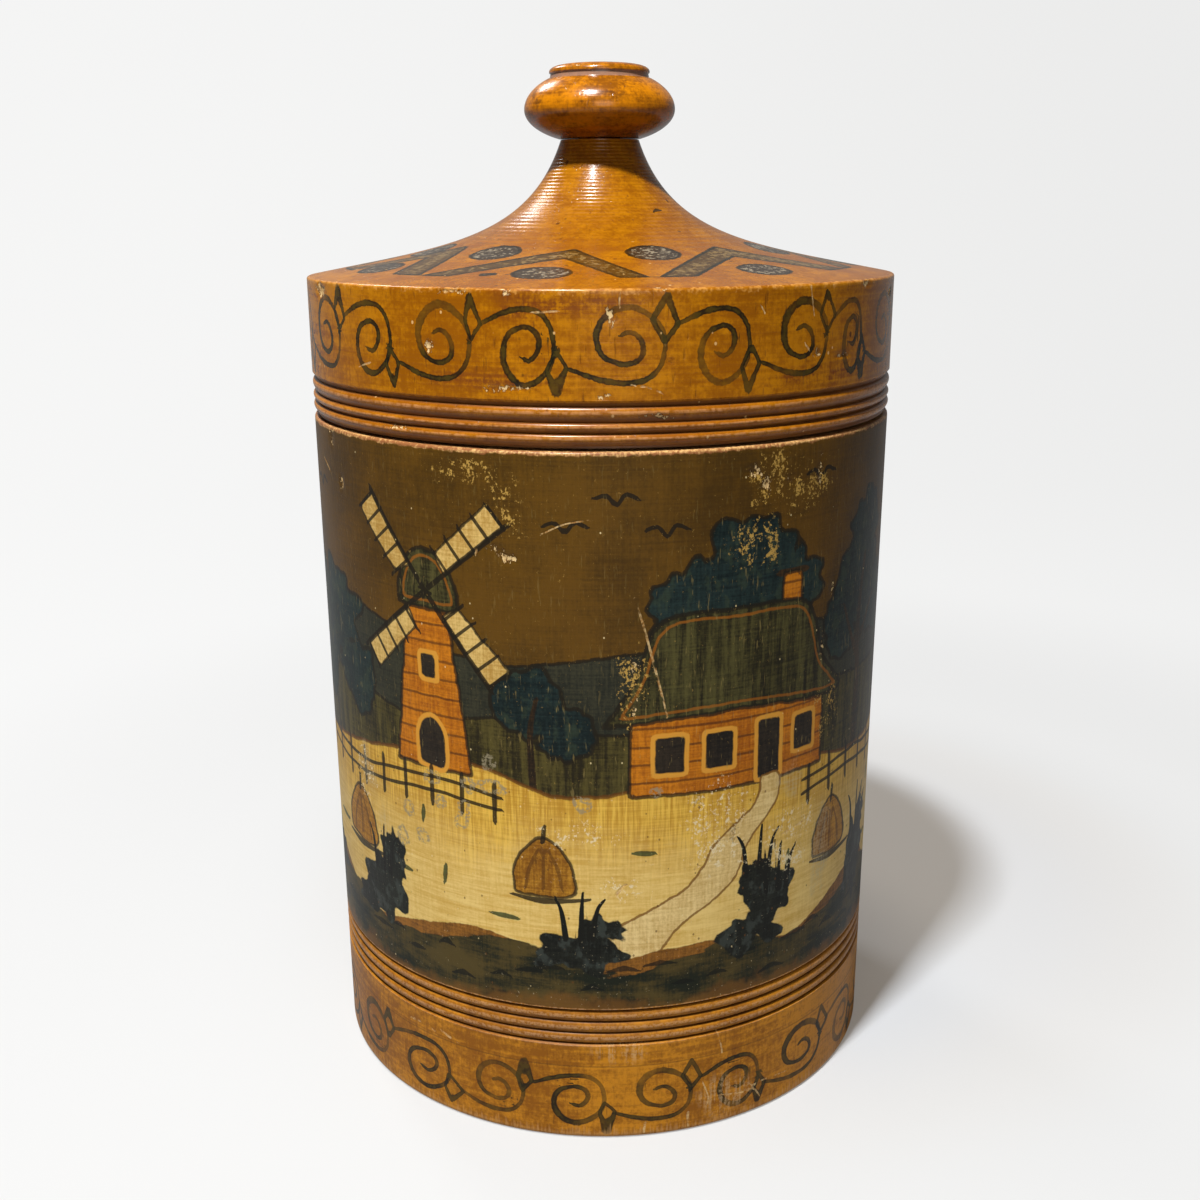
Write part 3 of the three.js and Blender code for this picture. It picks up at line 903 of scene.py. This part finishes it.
# %% Wear of the lid
band.strew("chips", 0.25, 8, (
    (-20, 180.4, 10, 1.0), (-38, 188.6, 1.6, 4), (2, 195.2, 1.6, 3.4), (14.1, 185.9, 1.4, 0.9),
    (0.3, 179, 2, 1.0), (-32, 200, 6, 1.2), (-19.5, 200.2, 1.6, 1.4), (-79, 198.5, 6, 3.4),
    (12.2, 200.6, 2, 1.2), (12, 174.6, 6, 0.8), (-48, 170.5, 8, 0.8), (60, 184.8, 5, 0.8),
    (51, 186, 2.4, 1.4), (88, 197, 3, 2), (70, 199.8, 5, 1.2), (130, 199.5, 6, 1.6), (200, 185, 3, 2),
    (-150, 178, 6, 1.2)))
for line in (
        ((48.2, 200), (48.8, 197), (49.5, 193.6)), ((32.6, 199.3), (33.4, 198)),
        ((34.8, 196.4), (35.7, 195)), ((6.6, 181.2), (9.5, 180.8), (12.4, 179.6)),
        ((47, 188), (49.5, 185.5)), ((3.8, 199.6), (3.7, 197.4)), ((-14, 196), (-9, 196.3)),
        ((-60, 183), (-56, 184)), ((140, 190), (160, 182)), ((-160, 195), (-140, 192))):
    band.stroke("scratch", line, 0.4)
band.strew("stains", 0.2, 10, (
    (-9, 197.6, 27, 4.6), (-88, 188, 18, 24), (-24, 182, 26, 3), (52, 181, 30, 3), (170, 190, 50, 12)))
band.fields.update(crown.fields)
to_arris = np.hypot(band.radius - (OUTER - 0.4), band.height - (ARRIS - 0.4))
band.fields["arris"] = np.where(band.radius > 60, to_arris, FAR).clip(0, FAR)
band.grooves(167.9, 178.3, OUTER, 70.5)
band.keep()
dents = Sheet(knob, lambda radius, height: (radius > 11) & (height > 232))
dents.strew("chips", 0.25, 8, ((-30, 248.9, 26, 0.8), (92, 241.5, 3, 1.2), (150, 242, 12, 2)))
dents.keep()

# %% [markdown]
# ## Small losses in the surface
# Where paint and varnish are chipped, the surface lies lower. A vertex group takes the strength of each chip
# from the drawing and the Displace modifier pushes those points in by about a third of a millimetre.

# %% Chips in relief
for sheet, depth in ((side, 0.35), (band, 0.3), (dents, 0.25)):
    piece = sheet.piece
    group = piece.vertex_groups.new(name="pushed")
    deep = (sheet.fields["chips"] / 0.7 + 0.3).clip(0, 1)
    for index in np.flatnonzero(deep > 0):
        group.add([int(index)], float(deep[index]), "REPLACE")
    bpy.ops.object.select_all(action="DESELECT")
    piece.select_set(True)
    bpy.context.view_layer.objects.active = piece
    bpy.ops.object.modifier_add(type="DISPLACE")
    push = piece.modifiers[-1]
    push.vertex_group, push.mid_level, push.strength = "pushed", 0.0, -depth * MM
    bpy.ops.object.modifier_apply(modifier=push.name)
    piece.vertex_groups.clear()
    print(piece.name, (deep > 0).sum(), "points pushed in")

# %% [markdown]
# ## Wood under varnish
# The wood is pale and even, a fruitwood or birch. Its fibres run up the axis. The lathe has left
# fine level rings, and varnish has yellowed over it into amber. Fibres, rings, cloudy patches and pores are
# noises stretched in different directions, and their mixture moves the colour between honey and chestnut.

# %% Wood
RAW_WOOD = (176, 124, 60), (232, 200, 142)
DIRT = (60, 34, 14)


def wood(finish, honey, chestnut, pore, patches=(24, 18)):
    """Lays turned wood, and gives its relief and its tone."""
    fibre = finish.noise((1100, 60), 3, 0.6)
    rings = finish.noise((8, 1500), 2, 0.5)
    grain = finish.noise((1500, 1100), 2, 0.6)
    pores = finish.noise((1500, 240), 1, 0.5).rise(0.66, 0.78)
    tone = fibre * 0.25 + finish.noise(patches, 4, 0.6) * 0.7 + rings * 0.3 + grain * 0.35
    tone += finish.noise((260, 420), 4, 0.7) * 0.65
    finish.colour = tone.rise(0.96, 1.3).mix(chestnut, honey)
    finish.lay(pores * 0.4, pore)
    return fibre * 0.3 + grain * 0.3 + rings * 0.8 - pores * 0.8, tone


def worn_through(finish, chips, scratch=0.0):
    """Lays pale raw wood in chips and scratches, with a dark edge where dirt has gathered."""
    crumbs = finish.noise((1100, 800), 3, 0.7)
    broken = chips + (crumbs - 0.56) * 4.5
    finish.lay(abs(broken).rise(0.5, 0.1) * 0.4, DIRT)
    raw = broken.rise(-0.05, 0.3).over(scratch)
    finish.lay(raw * 0.92, crumbs.rise(0.35, 0.65).mix(*RAW_WOOD))
    return raw


def drawn(finish, name, ragged):
    """How much ink or paint a stroke leaves at a place, and how near its edge that is."""
    across = abs(finish.field(name + "_side")) + ragged
    return across.rise(1.15, 0.85) * finish.field(name + "_reach").rise(0.55, 0.35), across


def scratched(finish, ragged):
    """Scratches skip where the tool that made them jumped."""
    skips = finish.noise((420, 300), 2, 0.6).rise(0.42, 0.54)
    return drawn(finish, "scratch", ragged)[0] * skips * 0.75


# %% [markdown]
# ## The finish of the lid
# Over the wood come the burned scroll and the zigzag, which is dark stain with blacker borders, rubbed thin.
# The grooves are darkened, partly with dirt and partly as painted shade, and the edges of the beads are
# rubbed to a bright orange that also serves as a painted highlight along their crests.

# %% The scroll's ink
def scrollwork(finish, ragged):
    """Stems and buds in brown-black, darker at the edges of each stroke."""
    fade = finish.noise((60, 60), 3, 0.6).rise(0.38, 0.58)
    blots = finish.noise((420, 420), 3, 0.65)
    for name, strength in (("stem", 0.62), ("bud", 0.84)):
        mark, across = drawn(finish, name, ragged)
        soaked = (blots + across * 0.22 + fade * 0.12).rise(0.54, 0.84)
        ink = soaked.mix((64, 53, 16), (24, 23, 12))
        finish.lay(mark * (strength + fade * (0.96 - strength)), ink)


# %% The lid's wood
INK = (26, 24, 14)
amber = Finish("amber_lid")
relief, tone = wood(amber, (186, 118, 5), (146, 84, 2), (70, 36, 6))
level = amber.height()
# Painted shade: the upper flare and the neck are darkened to tone down the strong light that the high lamp
# throws on them.
neck = level.rise(199, 214)
amber.shade(1 - neck * 0.26)
turning = level.sum("SINE", level * (2 * math.pi / 0.8))
relief = relief + turning * neck * (0.3 + tone.rise(0.95, 1.25) * 0.5)
amber.lay(amber.flecks((210, 150), 0.12, 0.36) * 0.8, (62, 32, 8))
on_top = level.rise(200, 201) * level.rise(222, 206)
# Painted shade: the top of the lid is made a little darker again, against the high lamp's light.
amber.shade(1 - on_top * 0.1)
grime = amber.noise((110, 160), 4, 0.7).rise(0.42, 0.62)
amber.lay((grime * 0.5 + 0.22) * on_top, (124, 68, 14))
bristles = amber.noise((1300, 1300), 1, 0.5) - 0.5
ragged = (amber.noise((420, 420), 3, 0.65) - 0.5) * 0.9 + bristles * 0.7
stained = (amber.field("stains") + ragged * 3).rise(-2, 2) * tone.rise(1.25, 1.0)
amber.lay(stained * 0.75, (110, 52, 20))
print("the lid's wood laid")

# %% The lid's ornament in stain
scrollwork(amber, ragged)
grit = amber.noise((800, 800), 2, 0.6)
patchy = (amber.noise((90, 90), 2, 0.5) - 0.5) * 0.3
bars = amber.field("bars") + ragged * 0.5
dots = amber.field("dots") + ragged * 0.5
stain = (grit + (bars - 1.5) * 0.04 + patchy).rise(0.5, 0.64).mix((54, 40, 14), (110, 90, 52))
amber.lay(bars.rise(-0.2, 0.2) * 0.9, stain)
amber.lay(abs(bars - 0.3).rise(0.6, 0.3) * 0.9, INK)
fill = (grit + patchy).rise(0.52, 0.64).mix((34, 33, 26), (128, 118, 98))
amber.lay(dots.rise(-0.2, 0.2) * 0.93, fill)
amber.lay(abs(dots).rise(0.6, 0.3) * 0.9, (20, 19, 12))
amber.lay(drawn(amber, "rule", ragged)[0] * 0.85, INK)
print("scroll, bars and dots laid")

# %% The lid's beads, edges and inside
groove = amber.field("groove")
beaded = level.rise(177.9, 177.4)
amber.lay(beaded * 0.25, (134, 70, 12))
# Dirt and painted shade, darker where the grooves between the beads go deeper.
amber.lay((groove + ragged * 0.2).rise(0.12, 0.5) * beaded * 0.7, (98, 58, 30))
# Rubbed crests of the beads, painted pale, which also serve as a painted highlight along them.
crest = (groove + ragged * 0.1).rise(0.08, 0.0) * beaded * grit.rise(0.3, 0.6)
amber.lay(crest * 0.6, (214, 152, 96))
raw = worn_through(amber, amber.field("chips"), scratched(amber, ragged))
amber.lay(amber.flecks((260, 210), 0.095, 0.45) * (1 - neck) * 0.8, (226, 182, 116))
edge = (amber.field("arris") + ragged * 2.5).rise(0.7, 0.25) * grit.rise(0.35, 0.6)
amber.lay(edge * 0.5, (214, 154, 76))
within = amber.radius().rise(69.7, 69.3) * level.rise(193.4, 193.0)
amber.lay(within, tone.rise(0.92, 1.3).mix((146, 98, 52), (190, 144, 88)))
roughness = 0.18 + tone * 0.06 + raw * 0.4 + groove * 0.15 + within * 0.35
amber.put_on(lid, roughness, relief - raw * 2, gloss=0.3, coat=0.05)

# %% The knob's finish
honey = Finish("amber_knob")
relief, tone = wood(honey, (188, 114, 2), (122, 68, 2), (56, 28, 6), (60, 150))
raw = worn_through(honey, honey.field("chips"))
burn = honey.noise((150, 220), 3, 0.6).rise(0.63, 0.7)
honey.lay(burn * 0.5, (60, 28, 8))
honey.lay(honey.flecks((150, 190), 0.14, 0.4) * 0.9, (44, 20, 8))
level = honey.height()
# Painted shade: the lower half of the ball, under its widest line, is made darker.
honey.shade(1 - level.rise(WIDEST + 1, WIDEST - 3) * 0.4)
quirk = abs(level - (QUIRK - 0.1))
honey.lay(quirk.rise(0.8, 0.65) * 0.75, (140, 112, 98))
# Painted shade: a broken dark line along both edges of the groove under the button.
broken_shade_line = honey.noise((500, 500), 3, 0.6).rise(0.45, 0.55) * 0.4
honey.lay(abs(quirk - 0.75).rise(0.16, 0.06) * broken_shade_line, (60, 34, 18))
honey.put_on(knob, 0.16 + tone * 0.05 + raw * 0.4, relief - raw * 2, gloss=0.42, coat=0.1)

# %% [markdown]
# ## The painted side
# The picture is oil paint, thin enough for the rings and fibres to break it up like canvas. Each
# layer is laid where its field is positive, with a wavering edge, and most shapes have a dark outline.
# Where the paint is dark, short pale dashes show along the fibres.

# %% Canvas and brush
LINE = (30, 24, 12)
oil = Finish("painted_side")
fibre = oil.noise((1700, 110), 3, 0.6)
rings = oil.noise((60, 1900), 3, 0.6)
cloud = oil.noise((40, 30), 5, 0.66)
grain = oil.noise((1500, 1500), 2, 0.65)
waver = oil.noise((230, 230), 4, 0.62) - 0.5
canvas = fibre * 0.35 + rings * 0.35 + grain * 0.3
height = oil.height()


def dabbed(dark, light):
    """A paint broken up by the fibres and rings under it."""
    return (canvas * 0.65 + cloud * 0.35).rise(0.4, 0.6).mix(dark, light)


def fill_shape(name, over, line=0.0, line_paint=LINE):
    """Fills a shape with a paint, and goes round it with a line of some width."""
    depth = oil.field(name) + waver * 1.6
    oil.lay(depth.rise(-0.2, 0.2), over)
    if line:
        oil.lay(abs(depth).rise(line, line * 0.5) * 0.85, line_paint)


def brush(name, over, strength=1.0, shake=0.8):
    """Draws strokes with a paint."""
    oil.lay(drawn(oil, name, waver * shake)[0] * strength, over)


# %% Back of the picture
oil.colour = (cloud * 0.55 + canvas * 0.45).rise(0.38, 0.6).mix((68, 46, 8), (97, 66, 12))
leaves = oil.noise((300, 240), 3, 0.6).rise(0.5, 0.64)
streaked = (oil.noise((560, 45), 3, 0.65) * 0.5 + canvas * 0.5).rise(0.4, 0.62)
fill_shape("far_hills", dabbed((32, 34, 26), (58, 56, 40)), 0.5)
fill_shape("near_hills", streaked.mix((36, 30, 12), (86, 76, 34)), 0.5)
fill_shape("crowns", (leaves * 0.4).mix(dabbed((12, 24, 24), (34, 50, 48)), (60, 70, 50)), 0.6)
brush("trunk", dabbed((30, 22, 12), (66, 46, 22)), shake=0.6)
woven = (fibre * 0.45 + rings * 0.2 + cloud * 0.35).rise(0.4, 0.6)
brushed = (oil.noise((70, 900), 4, 0.7) * 0.35 + cloud * 0.3 + canvas * 0.35).rise(0.38, 0.6)
straw, cream = woven.mix((184, 134, 40), (228, 184, 76)), brushed.mix((204, 162, 74), (234, 202, 124))
fill_shape("meadow", (height + (cloud - 0.5) * 40).rise(86, 64).mix(straw, cream), 0.6, (96, 56, 14))
dark_paint = oil.field("meadow").rise(0.3, -0.3)
print("back of the picture laid")

# %% Houses, field and near things
boards = abs(oil.node("Math", {"operation": "FRACT"}, {0: (height + waver * 0.8) / 4.3}) - 0.5)
brick = dabbed((150, 80, 8), (204, 124, 20))
fill_shape("walls", (boards.rise(0.1, 0.03) * 0.7).mix(brick, (70, 36, 12)), 0.6)
openings = oil.field("openings") + waver * 0.8
oil.lay(openings.rise(-1.3, -0.9), (214, 150, 52))
oil.lay(openings.rise(-0.2, 0.2), dabbed((24, 20, 16), (52, 42, 30)))
fill_shape("roofs", streaked.mix((32, 28, 12), (84, 78, 40)), 0.7)
oil.lay(abs(oil.field("roofs") + waver - 1.7).rise(0.45, 0.2) * 0.6, (158, 92, 18))
fill_shape("path", dabbed((196, 160, 92), (232, 204, 140)), 0.4, (120, 78, 24))
fill_shape("hay", dabbed((128, 80, 16), (194, 138, 40)), 0.5)
brush("straws", (84, 50, 14), 0.6)
fill_shape("cloth", dabbed((176, 134, 60), (220, 186, 112)), 0.4)
brush("grass", dabbed((36, 52, 28), (62, 80, 42)), 0.9)
for name in ("ink", "twigs"):
    brush(name, (30, 24, 13), 0.92, 0.7)
fill_shape("clay", dabbed((92, 58, 18), (150, 98, 34)))
soil = oil.noise((60, 170), 3, 0.6)
smear = (oil.field("smears") + waver * 7).rise(-1, 2.5) * canvas.rise(0.4, 0.6)
oil.lay(smear * 0.5, (172, 160, 132))
grassy = (soil * 0.6 + canvas * 0.4).rise(0.42, 0.6).mix((26, 30, 18), (80, 66, 30))
oil.lay((oil.field("ground") + waver * 1.6 + (soil - 0.5) * 9).rise(-0.2, 0.3), grassy)
oil.lay((height + waver * 7 + (cloud - 0.5) * 12).rise(39, 35.8) * 0.6, (122, 80, 28))
brush("tufts", (14, 16, 10), 0.8, 1.2)
fill_shape("bushes", (leaves * 0.5).mix(dabbed((14, 15, 10), (34, 36, 28)), (70, 76, 70)))
brush("sprigs", (20, 20, 14))
print("front of the picture laid")

# %% Rubbing of the picture
dashes = oil.noise((1500, 240), 2, 0.6).rise(0.62, 0.72)
covered = oil.field("near_hills").over(oil.field("crowns")).over(oil.field("roofs")).rise(0, 0.6)
oil.lay(dashes * dark_paint * (covered * 0.22 + 0.14), (158, 136, 78))
oil.lay(oil.flecks((420, 330), 0.13, 0.38) * (1 - dark_paint) * 0.7, (96, 62, 24))
rubbed = (oil.field("rubbed") + waver * 5).rise(-2, 2)
lumps = rubbed * (0.09 + (oil.noise((300, 260), 3, 0.7) - 0.5) * 0.7)
specks = (oil.noise((1400, 1200), 4, 0.7) + lumps).rise(0.65, 0.7)
oil.lay(specks * (0.35 + rubbed * 0.5), dark_paint.mix((232, 214, 172), (196, 156, 76)))
oil.lay(oil.flecks((300, 220), 0.065, 0.42) * 0.8, (228, 206, 150))
knocks = abs(oil.field("rings") + waver * 2.6).rise(0.75, 0.3)
oil.lay(knocks * grain.rise(0.4, 0.56) * 0.8, (146, 134, 106))
picture = oil.colour
print("picture rubbed")

# %% Foot, rim and inside
relief, tone = wood(oil, (200, 132, 26), (142, 86, 12), (84, 44, 10))
ragged = (oil.noise((420, 420), 3, 0.65) - 0.5) * 0.9
oil.lay(oil.field("bud_inside").rise(0, 0.4) * 0.15, (90, 66, 20))
scrollwork(oil, ragged)
oil.lay(abs(height + ragged * 0.5 - 19.8).rise(0.32, 0.12) * 0.4, (70, 44, 16))
groove = oil.field("groove")
beaded = height.rise(25.0, 25.6)
oil.lay(beaded * 0.35, (124, 76, 32))
# Dirt and painted shade, darker where the grooves between the beads go deeper.
oil.lay((groove + ragged * 0.15).rise(0.25, 0.7) * beaded * 0.8, (66, 34, 14))
# Rubbed crests of the beads, painted pale, which also serve as a painted highlight along them.
oil.lay(groove.rise(0.12, 0.0) * beaded * grain.rise(0.35, 0.6) * 0.45, (214, 168, 124))
oil.lay(rubbed * (fibre * 0.6 + grain * 0.4).rise(0.47, 0.6) * 0.5, (208, 174, 124))
oil.lay((height + (fibre - 0.5) * 9).rise(2.6, 0.4) * 0.5, (202, 152, 92))
oil.lay((height + ragged * 0.8).rise(35.2, 35.7), picture)
raw = worn_through(oil, oil.field("chips"), scratched(oil, ragged))
shaved = canvas.rise(0.46, 0.62).mix((146, 92, 54), (220, 176, 112))
oil.lay((oil.field("rim") + ragged * 2).rise(1.0, 0.6) * 0.85, shaved)
hidden = oil.radius().rise(70.9, 70.5).over(height.rise(0.4, 0.1))
oil.lay(hidden, tone.rise(0.92, 1.3).mix((150, 104, 58), (196, 152, 98)))
roughness = 0.36 + canvas * 0.14 + raw * 0.3 + hidden * 0.25
oil.put_on(body, roughness, relief * 0.4 + canvas * 1.6 - raw * 2, gloss=0.15, coat=0.1, coat_roughness=0.22)

# %% [markdown]
# ## The floor disc
# The disc let into the underside was never painted. It is a plain board of the same pale wood, planed
# across, and its growth lines run straight from side to side.

# %% The floor disc's finish
bare = Finish("bare_board")
growth = bare.noise((22, 420, 60), 4, 0.6)
bands = bare.noise((3, 70, 8), 3, 0.5)
bare.colour = (growth * 0.5 + bands * 0.6).rise(0.4, 0.7).mix((148, 104, 60), (202, 162, 110))
dirt = bare.noise((30, 30), 3, 0.6).rise(0.52, 0.7)
bare.lay(dirt * 0.35, (104, 74, 44))
bare.put_on(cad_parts["base_disc"], 0.55 + growth * 0.15, growth, gloss=0.3, coat=0.0, depth=0.06 * MM)
